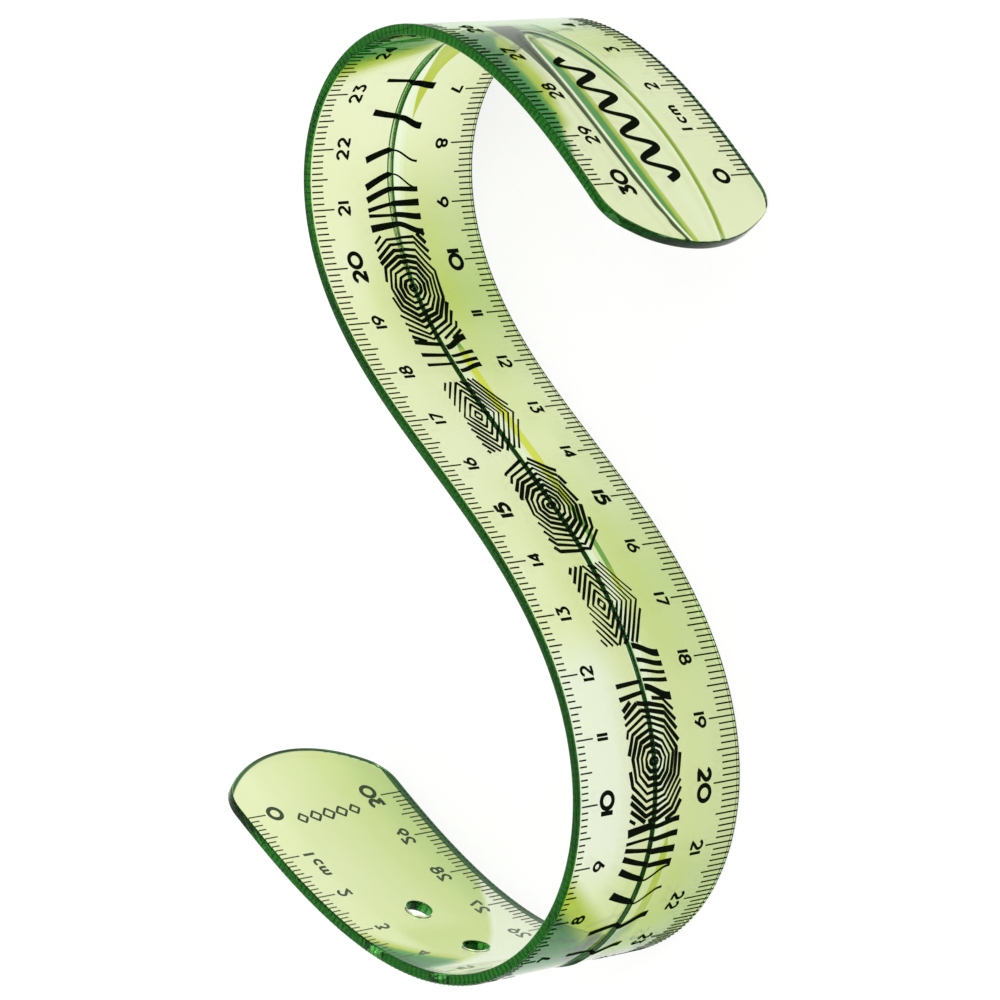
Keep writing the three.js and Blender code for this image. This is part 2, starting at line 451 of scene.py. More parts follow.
def resample(path, step, closed=False):
    """The same path with its places no more than step apart."""
    ends = list(zip(path, path[1:] + path[:1] if closed else path[1:]))
    out = []
    for (a, b), (c, d) in ends:
        pieces = max(1, math.ceil(math.hypot(c - a, d - b) / step))
        out += [(a + (c - a) * k / pieces, b + (d - b) * k / pieces) for k in range(pieces)]
    if not closed:
        out.append(path[-1])
    return out


def arc(cx, cy, rx, ry, start, stop, steps=14):
    """Places on part of an ellipse, angles in degrees."""
    angles = [math.radians(start + (stop - start) * k / steps) for k in range(steps + 1)]
    return [(cx + rx * math.cos(a), cy + ry * math.sin(a)) for a in angles]


# Strokes of each character, 1 high, drawn right and up from its lower left corner, and its width.
GLYPHS = {
    "0": ([arc(0.42, 0.5, 0.42, 0.5, 0, 360, 28)[:-1]], 0.84),
    "1": ([[(0.0, 0.0), (0.0, 1.0)]], 0.0),
    "2": ([arc(0.3, 0.7, 0.28, 0.3, 165, -35) + [(0.0, 0.0), (0.62, 0.0)]], 0.62),
    "3": ([[(0.04, 1.0), (0.55, 1.0), (0.26, 0.6)] + arc(0.26, 0.3, 0.29, 0.3, 80, -145)], 0.56),
    "4": ([[(0.46, 0.0), (0.46, 1.0), (0.0, 0.26), (0.62, 0.26)]], 0.6),
    "5": (
        [[(0.52, 1.0), (0.14, 1.0), (0.06, 0.55)] + arc(0.26, 0.32, 0.31, 0.32, 125, -140)],
        0.56,
    ),
    "6": ([arc(0.3, 0.29, 0.3, 0.29, 0, 360, 24)[:-1], [(0.42, 1.0), (0.06, 0.45)]], 0.6),
    "7": ([[(0.0, 1.0), (0.56, 1.0), (0.16, 0.0)]], 0.54),
    "8": (
        [
            arc(0.29, 0.76, 0.22, 0.24, 0, 360, 22)[:-1],
            arc(0.29, 0.27, 0.29, 0.27, 0, 360, 24)[:-1],
        ],
        0.58,
    ),
    "9": ([arc(0.3, 0.71, 0.3, 0.29, 0, 360, 24)[:-1], [(0.18, 0.0), (0.54, 0.55)]], 0.6),
    "c": ([arc(0.3, 0.3, 0.3, 0.3, 50, 310)], 0.52),
    "m": (
        [
            [(0.0, 0.0), (0.0, 0.6)],
            [(0.0, 0.36)] + arc(0.19, 0.4, 0.19, 0.2, 180, 0, 8) + [(0.38, 0.0)],
            [(0.38, 0.36)] + arc(0.57, 0.4, 0.19, 0.2, 180, 0, 8) + [(0.76, 0.0)],
        ],
        0.76,
    ),
    " ": ([], 0.1),
}
CLOSED_GLYPH_STROKES = {("0", 0), ("6", 0), ("8", 0), ("8", 1), ("9", 0)}
LETTER_GAP = 0.28
GLYPH_STEP = 0.6


def write(solid, text, along, middle_across, size, stroke, reads, tops, sign, widen, start_here):
    """Printed characters. reads is the way they run along the scale and tops the way they face."""
    widths = [GLYPHS[ch][1] * widen for ch in text]
    total = sum(widths) + LETTER_GAP * (len(text) - 1)
    pen = -total / 2 if not start_here else -widths[0] / 2
    for ch, wide in zip(text, widths):
        for number, strokes in enumerate(GLYPHS[ch][0]):
            closed = (ch, number) in CLOSED_GLYPH_STROKES
            path = [
                (along + reads * (pen + x * widen) * size, middle_across + tops * (y - 0.5) * size)
                for x, y in strokes
            ]
            path = resample(path, GLYPH_STEP, closed)
            path = [(a, c + drift_at(a)) for a, c in path]
            ribbon(solid, path, [stroke] * len(path), sign, closed)
        pen += wide + LETTER_GAP


BOLD = {0, 5, 10, 15, 20, 25, 30}
NUMERAL_SIZE, NUMERAL_STROKE, NUMERAL_WIDEN = 2.3, 0.5, 1.0
BOLD_SIZE, BOLD_STROKE, BOLD_WIDEN = 2.55, 0.74, 1.14
NUMERAL_ACROSS = 7.1
TICK_WIDTH = 0.25
TICK_START = 0.3
TICK_REACH = {10: 5.0, 5: 4.0, 1: 2.95}
LAST_NUMERAL = int(SCALE_LENGTH) // 10
LAST_BACK_NUMERAL = int(BACK_PRINT_END) // 10


def tick_solid(from_mm, to_mm, upper, sign):
    solid = Solid()
    for mark in range(from_mm, to_mm + 1):
        unit = 10 if mark % 10 == 0 else 5 if mark % 5 == 0 else 1
        if upper:
            ends = (TICK_START, TICK_REACH[unit] + drift_at(mark))
        else:
            ends = (WIDTH - TICK_START, WIDTH - TICK_REACH[unit] + drift_at(mark))
        ribbon(solid, [(mark, ends[0]), (mark, ends[1])], [TICK_WIDTH, TICK_WIDTH], sign)
    return solid


def numeral_solid(from_cm, to_cm, upper, sign):
    solid = Solid()
    for cm in range(from_cm, to_cm + 1):
        value = LAST_NUMERAL - cm if upper else cm
        bold = value in BOLD
        size, stroke = (BOLD_SIZE, BOLD_STROKE) if bold else (NUMERAL_SIZE, NUMERAL_STROKE)
        widen = BOLD_WIDEN if bold else NUMERAL_WIDEN
        across = NUMERAL_ACROSS if upper else WIDTH - NUMERAL_ACROSS
        reads, tops = (-1, -1) if upper else (1, 1)
        if sign < 0:
            reads, tops = 1, -1
        text = "1 cm" if value == 1 else str(value)
        write(solid, text, cm * 10, across, size, stroke, reads, tops, sign, widen, value == 1)
    return solid


BAND = (12.3, 23.6)
UPPER_HALF = (12.3, 17.5)
LOWER_HALF = (17.8, 23.6)
SPINE = 17.6
BAR_STEPS = 36
BAR_LEFT_CURVE = 1.2


def bar(solid, along, left_width, right_width, left_drop, right_drop, reach=BAND):
    """One bar across the band, with its own width and drop on each side of the rib."""
    path = []
    widths = []
    low, high = reach
    for k in range(BAR_STEPS + 1):
        across = low + (high - low) * k / BAR_STEPS
        left = max(0.0, (SPINE - across) / (SPINE - BAND[0]))
        right = max(0.0, (across - SPINE) / (BAND[1] - SPINE))
        place_along = along + left_drop * left**BAR_LEFT_CURVE + right_drop * smooth(0, 1, right)
        path.append((place_along, across + drift_at(place_along)))
        side_width = left_width if across < SPINE else right_width
        widths.append(side_width * (0.8 + 0.2 * max(left, right)))
    ribbon(solid, path, widths, 1)


def clipped_runs(path, inside):
    """The stretches of a path that lie inside."""
    runs, run = [], []
    for spot in path:
        if inside(*spot):
            run.append(spot)
        elif run:
            runs.append(run)
            run = []
    if run:
        runs.append(run)
    return [r for r in runs if len(r) > 2]


def outline_strokes(solid, corners, centre, across, from_, to, thin, thick, heavy):
    """A closed outline drawn inside the band, thickest in the heavy direction (degrees)."""
    path = resample(corners, 0.25, closed=True)
    inside = clipped_runs(path + path[:1], lambda a, c: BAND[0] < c < BAND[1] and from_ < a < to)
    for run in inside:
        closed = len(run) == len(path) + 1
        if closed:
            run = run[:-1]
        widths = []
        for a, c in run:
            turned = math.atan2(c - across, a - centre) - math.radians(heavy)
            widths.append(thin + (thick - thin) * (0.5 + 0.5 * math.cos(2 * turned)))
        moved = [(a, c + drift_at(a)) for a, c in run]
        ribbon(solid, moved, widths, 1, closed)


RING_CORNERS = 9
RING_FIRST, RING_PITCH, RING_TWIST = 0.45, 1.0, 0.06
RING_STRETCH = 1.12
RING_UNEVEN, RING_OWN_UNEVEN = (0.93, 1.07), (0.985, 1.015)
RING_THIN, RING_THICK = 0.46, 0.76


def rings(solid, centre, across, from_, to, count, seed):
    """Uneven many-cornered rings round one place."""
    dice = random.Random(seed)
    bumps = [dice.uniform(*RING_UNEVEN) for _ in range(RING_CORNERS)]
    for ring in range(count):
        radius = RING_FIRST + ring * RING_PITCH
        corners = []
        for k, bump in enumerate(bumps):
            angle = 2 * math.pi * (k + RING_TWIST * ring) / RING_CORNERS + seed
            own = radius * bump * dice.uniform(*RING_OWN_UNEVEN)
            corners.append((
                centre + own * RING_STRETCH * math.cos(angle),
                across + own * math.sin(angle),
            ))
        heavy = 30 * ring + 40 * seed
        outline_strokes(solid, corners, centre, across, from_, to, RING_THIN, RING_THICK, heavy)


DIAMOND_FIRST, DIAMOND_PITCH, DIAMOND_STRETCH = 0.75, 1.16, 1.35
DIAMOND_THIN, DIAMOND_THICK = 0.3, 0.56


def diamonds(solid, centre, across, from_, to, count, heavy):
    """Diamonds one inside the other, cut off at the band's edges."""
    for n in range(count):
        radius = DIAMOND_FIRST + n * DIAMOND_PITCH
        corners = [
            (centre - radius * DIAMOND_STRETCH, across),
            (centre, across + radius),
            (centre + radius * DIAMOND_STRETCH, across),
            (centre, across - radius),
        ]
        strokes = (DIAMOND_THIN, DIAMOND_THICK, heavy)
        outline_strokes(solid, corners, centre, across, from_, to, *strokes)


# ---- Materials ----


def new_material(name):
    material = bpy.data.materials.new(name)
    material.use_nodes = True
    return material, material.node_tree.nodes["Principled BSDF"]


class Nodes:
    """Short ways to add maths nodes to one material."""

    def __init__(self, material):
        self.nodes = material.node_tree.nodes
        self.links = material.node_tree.links

    def plug(self, value, socket):
        if isinstance(value, (int, float)):
            socket.default_value = value
        else:
            self.links.new(value, socket)

    def math(self, operation, first, second=0.0, third=0.0):
        node = self.nodes.new("ShaderNodeMath")
        node.operation = operation
        self.plug(first, node.inputs[0])
        self.plug(second, node.inputs[1])
        self.plug(third, node.inputs[2])
        return node.outputs[0]

    def fade(self, value, start, stop):
        """0 up to start and 1 from stop on, with a soft change between them."""
        node = self.nodes.new("ShaderNodeMapRange")
        node.interpolation_type = "SMOOTHSTEP"
        self.plug(value, node.inputs["Value"])
        node.inputs["From Min"].default_value = start
        node.inputs["From Max"].default_value = stop
        return node.outputs["Result"]

    def both(self, *values):
        result = values[0]
        for value in values[1:]:
            result = self.math("MULTIPLY", result, value)
        return result

    def band(self, value, low, high, soft):
        """1 between low and high, with soft edges."""
        return self.both(self.fade(value, low - soft, low), self.fade(value, high + soft, high))

    def curve(self, value, stops):
        """A number that follows (value, number) stops."""
        first, last = stops[0][0], stops[-1][0]
        least = min(number for _, number in stops)
        most = max(number for _, number in stops)
        share = self.nodes.new("ShaderNodeMapRange")
        self.plug(value, share.inputs["Value"])
        share.inputs["From Min"].default_value = first
        share.inputs["From Max"].default_value = last
        ramp = self.nodes.new("ShaderNodeValToRGB")
        ramp.color_ramp.interpolation = "EASE"
        elements = ramp.color_ramp.elements
        for number, (at, height) in enumerate(stops):
            element = elements[number] if number < 2 else elements.new(1.0)
            element.position = (at - first) / (last - first)
            grey = (height - least) / (most - least)
            element.color = (grey, grey, grey, 1)
        self.links.new(share.outputs["Result"], ramp.inputs["Fac"])
        return self.math("MULTIPLY_ADD", ramp.outputs["Color"], most - least, least)

    def mix(self, share, first, second):
        node = self.nodes.new("ShaderNodeMix")
        node.data_type = "RGBA"
        self.plug(share, node.inputs["Factor"])
        for value, socket in ((first, node.inputs[6]), (second, node.inputs[7])):
            if isinstance(value, tuple):
                socket.default_value = (*value, 1)
            else:
                self.links.new(value, socket)
        return node.outputs[2]

    def flat_place(self):
        """Where the shaded place is: along, across, side (1 on the front face, 0 on the back),
        nominal across (drift left out) and the flat UV itself."""
        places = []
        for name in ("flat", "side"):
            source = self.nodes.new("ShaderNodeUVMap")
            source.uv_map = name
            split = self.nodes.new("ShaderNodeSeparateXYZ")
            self.links.new(source.outputs["UV"], split.inputs[0])
            places.append((split.outputs["X"], split.outputs["Y"], source.outputs["UV"]))
        (along, across, flat), (side, nominal, _) = places
        return (
            self.math("MULTIPLY", along, 100.0),
            self.math("MULTIPLY", across, 100.0),
            side,
            self.math("MULTIPLY", nominal, 100.0),
            flat,
        )

    def oval_gap(self, along, across):
        """The distance to the oval frame's centre line, negative inside the oval."""
        x = self.math("DIVIDE", self.math("SUBTRACT", along, OVAL_ALONG), OVAL_LENGTH)
        y = self.math("DIVIDE", self.math("SUBTRACT", across, OVAL_ACROSS), OVAL_WIDTH)
        size = self.hypot(x, y)
        slope = self.hypot(self.math("DIVIDE", x, OVAL_LENGTH), self.math("DIVIDE", y, OVAL_WIDTH))
        return self.math("DIVIDE", self.both(self.math("SUBTRACT", size, 1.0), size), slope)

    def hypot(self, x, y):
        return self.math("SQRT", self.math("MULTIPLY_ADD", x, x, self.both(y, y)))


# Base colours of the plastic, as it looks with white behind it. FACE_PALE, FACE_MILD and the wall
# colours are its own tone; the rest are painted light: painted shade, painted highlights and
# painted reflections, each named below. A colour painted on one face only is deeper than it looks,
# because light crosses it once where it crosses the plain colour twice.
FACE_PALE = (0.94, 0.89, 0.66)
FACE_MILD = (0.90, 0.87, 0.56)
# Painted shade: the deeper green where the blade turns, on the upper lanes and on the lower side.
DEEP_SHADE_LANE = (0.58, 0.64, 0.15)
DEEP_SHADE_SIDE = (0.57, 0.65, 0.26)
# Painted highlight on some upper lanes of the middle stretch.
HIGHLIGHT_LANE = (1.0, 0.95, 0.92)
# Painted reflection: the pale grey-white where the blade turns away.
TURN_REFLECTION = (0.97, 0.91, 0.80)
# Painted shade where the blade turns: a lime rim, the deep green inside it and a dark patch.
RIM_SHADE_LIME = (0.50, 0.57, 0.03)
BEND_SHADE_GREEN = (0.010, 0.20, 0.025)
SHADE_PATCH_COLOUR = (0.02, 0.06, 0.02)
# Painted shade: the dark lines just inside the edges.
EDGE_SHADE = (0.001, 0.018, 0.002)
WALL_GREEN = (0.6, 0.95, 0.6)
WALL_DEEP = (0.35, 0.42, 0.35)
WALL_MARK = (0.02, 0.2, 0.03)
# Painted shade: the dark line along the rib's foot.
RIB_FOOT_SHADE = (0.0005, 0.008, 0.0008)
# Painted dark reflection: the wedge under the oval frame's upper line.
DARK_REFLECTION_OLIVE = (0.003, 0.006, 0.0003)
# Painted light at the oval frame: dark lines of painted shade and a green to lime lens of light
# bent through its flank.
OVAL_REFRACTED_GREEN = (0.006, 0.11, 0.008)
OVAL_REFRACTED_OLIVE = (0.10, 0.17, 0.002)
OVAL_REFRACTED_LIME = (0.30, 0.40, 0.004)
# Painted light: the streak of light bent through the rib's slope.
REFRACTED_STREAK_YELLOW = (0.66, 0.66, 0.002)
REFRACTED_STREAK_GREEN = (0.03, 0.19, 0.002)
REFRACTED_STREAK_LIME = (0.34, 0.41, 0.0006)
# Painted highlight: the white on the rib's slope and the line along the inside of the oval frame.
WHITE_HIGHLIGHT = (1.0, 0.97, 0.85)


# Curves for the painting: a place (along or across) and the number there.
MIDDLE_DEEP = [
    (78, 0), (95, 0.7), (106, 1), (116, 0.65), (127, 0.2), (136, 0.05), (147, 0.35), (157, 0.6),
    (166, 0.68), (176, 0.6), (187, 0.4), (196, 0.28), (206, 0.35), (216, 0.7), (226, 1),
]
MIDDLE_DEEP_ACROSS = [(6, 0), (11, 0.32), (20, 0.75), (25, 0.94), (36, 0.94)]
FAR_DEEP_ACROSS = [(5, 0.05), (11, 0.26), (18, 0.4), (25, 0.58), (32, 0.9), (36, 0.9)]
FIRST_LIME_TO = [(7, 0), (14, 5.0), (25, 7.6), (36, 9.4), (42, 9.8)]
FIRST_GREEN_TO = [
    (3, -0.6), (9, 1.6), (15, 3.6), (26, 4.6), (32, 5.6), (37, 8.5), (42, 9.5),
]
OVAL_TOP_EDGE = [
    (-12.5, 12.1), (-8, 10.8), (-4, 10.0), (2, 9.25), (8, 8.95), (14, 9.0),
    (25, 9.45), (36, 10.1), (42, 10.6),
]
OVAL_LINE_HALF = [(-12.5, 0.5), (18, 0.55), (28, 1.0), (36, 2.2)]
OVAL_SECOND_LINE = [(18, 23.6), (28, 22.9), (42, 21.3)]
# How strong the painted highlight on the rib's slope is along the scale.
RIB_HIGHLIGHT_SHARE = [
    (52, 0.3), (64, 1), (86, 0.9), (100, 0.2), (118, 0.3), (126, 0.9), (142, 0.8), (151, 0.2),
    (160, 0.9), (203, 0.9), (214, 0.1), (248, 0),
]
STREAK_HALF = [
    (46, 0), (50, 3.2), (58, 3.0), (67, 1.4), (77, 0), (112, 0), (119, 1.0), (140, 1.05),
    (150, 0.75), (163, 0.65), (171, 0), (205, 0), (211, 0.95), (224, 1.3), (236, 1.3), (248, 0),
]
STREAK_ACROSS = 21.3


def paint_bends(n, colour, along, across):
    """Painted shade and painted reflection where the blade turns, on both faces: deeper greens,
    lime rims, a dark patch, a painted highlight on one lane and the pale reflection of the turns.
    """
    inner = n.curve(along, MIDDLE_DEEP)
    deepen = n.curve(across, MIDDLE_DEEP_ACROSS)
    outer = n.both(n.fade(across, 26, 31), n.band(along, 140, 222, 14), 0.35)
    middle = n.math("MAXIMUM", n.both(inner, deepen), outer)
    far_share = n.curve(across, FAR_DEEP_ACROSS)
    near_far = n.both(n.fade(along, 274, 264), n.fade(across, 6, 10), 0.6)
    far = n.both(n.fade(along, 246, 252), n.math("MAXIMUM", far_share, near_far))
    # Painted shade: deeper green where the blade turns.
    deep_shade = n.mix(n.fade(across, 25, 31), DEEP_SHADE_LANE, DEEP_SHADE_SIDE)
    colour = n.mix(n.both(n.fade(across, 18, 24), n.fade(along, 28, 20), 0.9), colour, FACE_PALE)
    colour = n.mix(n.math("ADD", n.both(middle, n.fade(along, 242, 236)), far), colour, deep_shade)
    colour = n.mix(n.both(n.fade(across, 18, 28), n.band(along, 32, 42, 6), 0.5), colour, DEEP_SHADE_LANE)
    # Painted highlight on the upper lanes from 182 to 206 along.
    light = n.both(n.fade(across, 15, 8), n.band(along, 182, 206, 12), 0.8)
    colour = n.mix(light, colour, HIGHLIGHT_LANE)

    # Painted shade at the near end of the tighter bend: a lime rim and the deep green inside it.
    slanted = n.math("MULTIPLY_ADD", across, 0.42, along)
    inside = n.both(n.fade(across, 18, 13), n.fade(along, 46, 48))
    colour = n.mix(n.both(n.fade(slanted, 70, 65), inside), colour, RIM_SHADE_LIME)
    colour = n.mix(n.both(n.fade(slanted, 67, 62), inside), colour, BEND_SHADE_GREEN)

    # Painted shade at the near end of the wider bend, above the rib: a lime rim, deep green, a dark
    # patch and a green lens below the rib.
    slanted = n.math("MULTIPLY_ADD", across, -0.85, along)
    inside = n.both(n.fade(across, 16.6, 16.0), n.fade(along, 239, 235))
    colour = n.mix(n.both(n.fade(slanted, 209, 214), inside), colour, RIM_SHADE_LIME)
    colour = n.mix(n.both(n.fade(slanted, 215, 219), inside), colour, BEND_SHADE_GREEN)
    shade_patch = n.both(n.band(across, 12.2, 15.2, 0.4), n.band(along, 226, 234, 1.5), 0.85)
    colour = n.mix(shade_patch, colour, SHADE_PATCH_COLOUR)
    lens = n.both(n.band(across, 17.0, 21.0, 0.8), n.band(along, 226, 236, 4.0), 0.8)
    colour = n.mix(lens, colour, BEND_SHADE_GREEN)

    # The far stretch: painted shade in green by the upper edge, then the painted reflection of the
    # pale turn.
    slanted = n.math("MULTIPLY_ADD", across, 1.4, along)
    beyond = n.fade(along, 246, 249)
    lime = n.both(n.fade(slanted, 272, 267), beyond, n.fade(across, 12, 9))
    colour = n.mix(lime, colour, RIM_SHADE_LIME)
    green = n.both(n.fade(slanted, 267.5, 265), beyond, n.fade(across, 9.8, 8.6))
    colour = n.mix(green, colour, BEND_SHADE_GREEN)
    past = n.math("MAXIMUM", n.math("SUBTRACT", across, 8.0), 0.0)
    turned = n.math("MULTIPLY_ADD", n.both(past, past), -0.034, along)
    colour = n.mix(n.both(n.fade(turned, 254, 252), n.fade(along, 238, 244)), colour, TURN_REFLECTION)

    # The first stretch: painted shade in green and lime by the upper edge, then the painted
    # reflection of the pale turn.
    first = n.fade(along, 41, 37)
    past_lime = n.math("SUBTRACT", across, n.curve(along, FIRST_LIME_TO))
    past_green = n.math("SUBTRACT", across, n.curve(along, FIRST_GREEN_TO))
    lime = n.both(n.fade(past_lime, 1.4, -1.2), n.fade(along, 8, 15), first)
    green = n.both(n.fade(past_green, 0.7, -0.7), n.fade(along, 2, 5), first)
    colour = n.mix(lime, colour, RIM_SHADE_LIME)
    colour = n.mix(green, colour, BEND_SHADE_GREEN)
    return n.mix(n.both(n.fade(along, 38.5, 41), n.fade(along, 50, 47)), colour, TURN_REFLECTION)


def paint_oval(n, colour, along, across, back):
    """Painted light at the oval frame, on the back face: dark lines of painted shade, a dark wedge
    of painted reflection, a line of painted highlight, and a green lens of light bent through the
    frame's flank.
    """
    gap = n.oval_gap(along, across)
    upper = n.both(back, n.fade(across, 16.6, 16.0), n.fade(along, 42, 40.5))
    lower = n.both(back, n.fade(across, 16.0, 16.6), n.fade(along, 42, 40.5))

    # Painted light: a lens of light bent through the frame's flank, green to lime, and a line of
    # painted highlight inside the frame.
    rise = n.math("SUBTRACT", along, 8.0)
    lens_to = n.math("MULTIPLY_ADD", n.both(rise, rise), 0.0035, 13.1)
    depth = n.math("SUBTRACT", lens_to, across)
    in_lens = n.both(upper, n.fade(gap, -1.0, -1.3), n.fade(depth, -0.3, 0.2))
    colour = n.mix(in_lens, colour, n.mix(n.fade(depth, 0.3, 1.3), OVAL_REFRACTED_LIME, OVAL_REFRACTED_GREEN))
    highlight_line = n.both(back, n.band(gap, -1.05, -0.6, 0.12), n.fade(along, 42, 40))
    colour = n.mix(highlight_line, colour, WHITE_HIGHLIGHT)

    # Painted dark reflection: a wedge under the frame's upper line.
    below_top = n.math("SUBTRACT", across, n.curve(along, OVAL_TOP_EDGE))
    reflection_wedge = n.both(upper, n.fade(below_top, -0.1, 0.1), n.fade(gap, -0.6, -0.45))
    colour = n.mix(reflection_wedge, colour, DARK_REFLECTION_OLIVE)

    # Painted shade: the frame's dark lower line, and a green line below it.
    line_gap = n.math("SUBTRACT", n.math("ABSOLUTE", gap), n.curve(along, OVAL_LINE_HALF))
    line = n.both(lower, n.fade(line_gap, 0.08, -0.08))
    line_colour = n.mix(n.fade(along, 18, 28), OVAL_REFRACTED_OLIVE, OVAL_REFRACTED_GREEN)
    colour = n.mix(line, colour, n.mix(n.fade(gap, 0.0, 0.25), line_colour, OVAL_REFRACTED_LIME))
    below_second = n.math("SUBTRACT", across, n.curve(along, OVAL_SECOND_LINE))
    inside = n.both(n.fade(gap, -0.3, 0.2), n.fade(below_second, 0.3, -0.3))
    colour = n.mix(n.both(lower, inside, n.fade(along, 27, 36), 0.8), colour, OVAL_REFRACTED_GREEN)
    off = n.math("ABSOLUTE", below_second)
    return n.mix(n.both(lower, n.fade(off, 0.4, 0.25), n.fade(along, 18, 24)), colour, OVAL_REFRACTED_GREEN)


def paint_rib(n, colour, along, nominal, front):
    """Painted light along the rib: a painted highlight on the slope, on both faces; on the front
    face, a streak of light bent through the slope and a dark line of painted shade along the foot.
    """
    # Painted highlight on the rib's slope, on both faces.
    rib_highlight = n.both(n.curve(along, RIB_HIGHLIGHT_SHARE), n.band(nominal, 18.2, 20.2, 0.5))
    colour = n.mix(rib_highlight, colour, WHITE_HIGHLIGHT)
    # Painted light on the front face: a streak of light bent through the rib's slope, yellow, lime
    # and green.
    streak_half = n.curve(along, STREAK_HALF)
    off_streak = n.math("ABSOLUTE", n.math("SUBTRACT", nominal, STREAK_ACROSS))
    streak = n.both(front, n.fade(n.math("SUBTRACT", off_streak, streak_half), 0.12, -0.12))
    streak = n.both(streak, n.fade(streak_half, 0.02, 0.12))
    streak_colour = n.mix(n.band(along, 119, 141, 6), REFRACTED_STREAK_LIME, REFRACTED_STREAK_YELLOW)
    green_share = n.math("MAXIMUM", n.band(along, 110, 116, 2), n.band(along, 152, 162, 4))
    streak_colour = n.mix(green_share, streak_colour, REFRACTED_STREAK_GREEN)
    colour = n.mix(streak, colour, streak_colour)

    # Painted shade on the front face: the dark line along the rib's foot, double before 90 along
    # and single past 104.
    on_rib = n.both(front, n.fade(along, 56, 60), n.fade(along, 242, 238))
    single = n.both(n.band(nominal, 17.3, 17.7, 0.05), n.fade(along, 90, 104))
    sides = n.math("ADD", n.band(nominal, 17.1, 17.36, 0.06), n.band(nominal, 17.66, 17.92, 0.06))
    double = n.both(sides, n.fade(along, 104, 90))
    return n.mix(n.both(on_rib, n.math("ADD", single, double)), colour, RIB_FOOT_SHADE)


def paint_edges(n, colour, along, across, front, back):
    """Dark lines of painted shade just inside the edges, and the green wall with a mark at each
    millimetre.
    """
    # Painted shade on the back face: a dark band inside the far tip and along the far stretch's
    # lower edge.
    far_circle = n.hypot(
        n.math("SUBTRACT", along, SCALE_LENGTH + TIP_OVERHANG - arc_radius),
        n.math("SUBTRACT", across, half_width),
    )
    from_tip = n.math("SUBTRACT", arc_radius, far_circle)
    far_tip = n.both(n.fade(from_tip, 1.0, 0.7), n.fade(along, 296, 300))
    far_edge = n.math("MAXIMUM", far_tip, n.fade(across, 34.0, 34.3))
    colour = n.mix(n.both(back, far_edge, n.fade(along, 254, 259)), colour, EDGE_SHADE)
    # Painted shade: a thin dark line along the lower edge, on the front face past 48 along and on
    # the back face before it, wider on the back face of the first stretch.
    front_part = n.both(front, n.fade(along, 48, 54))
    near_face = n.math("MAXIMUM", front_part, n.both(back, n.fade(along, 54, 48)))
    near_edge = n.both(near_face, n.fade(across, 35.5, 35.65), n.fade(along, 235, 232))
    first_edge = n.both(back, n.fade(across, 34.8, 35.0), n.fade(along, 48, 42))
    colour = n.mix(n.math("MAXIMUM", near_edge, first_edge), colour, EDGE_SHADE)

    in_millimetre = n.math("FRACT", n.math("ADD", along, 100.0))
    from_mark = n.math("ABSOLUTE", n.math("SUBTRACT", in_millimetre, 0.5))
    wall_colour = n.mix(n.band(along, 104, 200, 26), WALL_GREEN, WALL_DEEP)
    wall_colour = n.mix(n.fade(from_mark, 0.34, 0.40), wall_colour, WALL_MARK)
    standing = n.both(n.fade(across, 35.3, 35.5), n.band(along, 54, 236, 3))
    wall_colour = n.mix(standing, wall_colour, FACE_PALE)
    faces = n.math("MAXIMUM", front, back)
    return n.mix(n.math("SUBTRACT", 1.0, faces), colour, wall_colour)


def plastic_material():
    material, shader = new_material("clear_green_plastic")
    nodes, links = material.node_tree.nodes, material.node_tree.links
    n = Nodes(material)
    along, across, side, nominal, flat = n.flat_place()
    front = n.fade(side, 0.93, 0.99)
    back = n.fade(side, 0.07, 0.01)

    clouds = nodes.new("ShaderNodeTexNoise")
    clouds.inputs["Scale"].default_value = 3.2
    clouds.inputs["Detail"].default_value = 1.0
    links.new(flat, clouds.inputs["Vector"])
    colour = n.mix(n.fade(clouds.outputs["Fac"], 0.38, 0.62), FACE_PALE, FACE_MILD)
    colour = paint_bends(n, colour, along, across)
    colour = paint_oval(n, colour, along, across, back)
    colour = paint_rib(n, colour, along, nominal, front)
    colour = paint_edges(n, colour, along, across, front, back)

    links.new(colour, shader.inputs["Base Color"])
    shader.inputs["Roughness"].default_value = 0.03
    shader.inputs["IOR"].default_value = 1.49
    shader.inputs["Transmission Weight"].default_value = 1.0
    shader.inputs["Specular Tint"].default_value = (0.2, 0.5, 0.2, 1)
    volume = nodes.new("ShaderNodeVolumeAbsorption")
    volume.inputs["Color"].default_value = (0.20, 0.68, 0.10, 1)
    volume.inputs["Density"].default_value = 125.0
    links.new(volume.outputs["Volume"], nodes["Material Output"].inputs["Volume"])
    return material


def ink_material(name, colour, roughness):
    material, shader = new_material(name)
    nodes, links = material.node_tree.nodes, material.node_tree.links
    noise = nodes.new("ShaderNodeTexNoise")
    noise.inputs["Scale"].default_value = 900.0
    noise.inputs["Detail"].default_value = 3.0
    ramp = nodes.new("ShaderNodeValToRGB")
    ramp.color_ramp.elements[0].position = 0.35
    ramp.color_ramp.elements[1].position = 0.7
    ramp.color_ramp.elements[0].color = (*[c * 0.8 for c in colour], 1)
    ramp.color_ramp.elements[1].color = (*[c * 1.25 for c in colour], 1)
    coords = nodes.new("ShaderNodeTexCoord")
    links.new(coords.outputs["Object"], noise.inputs["Vector"])
    links.new(noise.outputs["Fac"], ramp.inputs["Fac"])
    links.new(ramp.outputs["Color"], shader.inputs["Base Color"])
    shader.inputs["Roughness"].default_value = roughness
    shader.inputs["Specular IOR Level"].default_value = 0.0
    return material


plastic = plastic_material()
black_ink = ink_material("black_ink", (0.004, 0.006, 0.003), 0.5)
tick_ink = ink_material("tick_ink", (0.008, 0.014, 0.004), 0.55)


# ---- Assembly ----


def fit_piece(piece, node):
    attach(piece, "root")
    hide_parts(node)


fit_piece(build_blade(plastic), "blade")

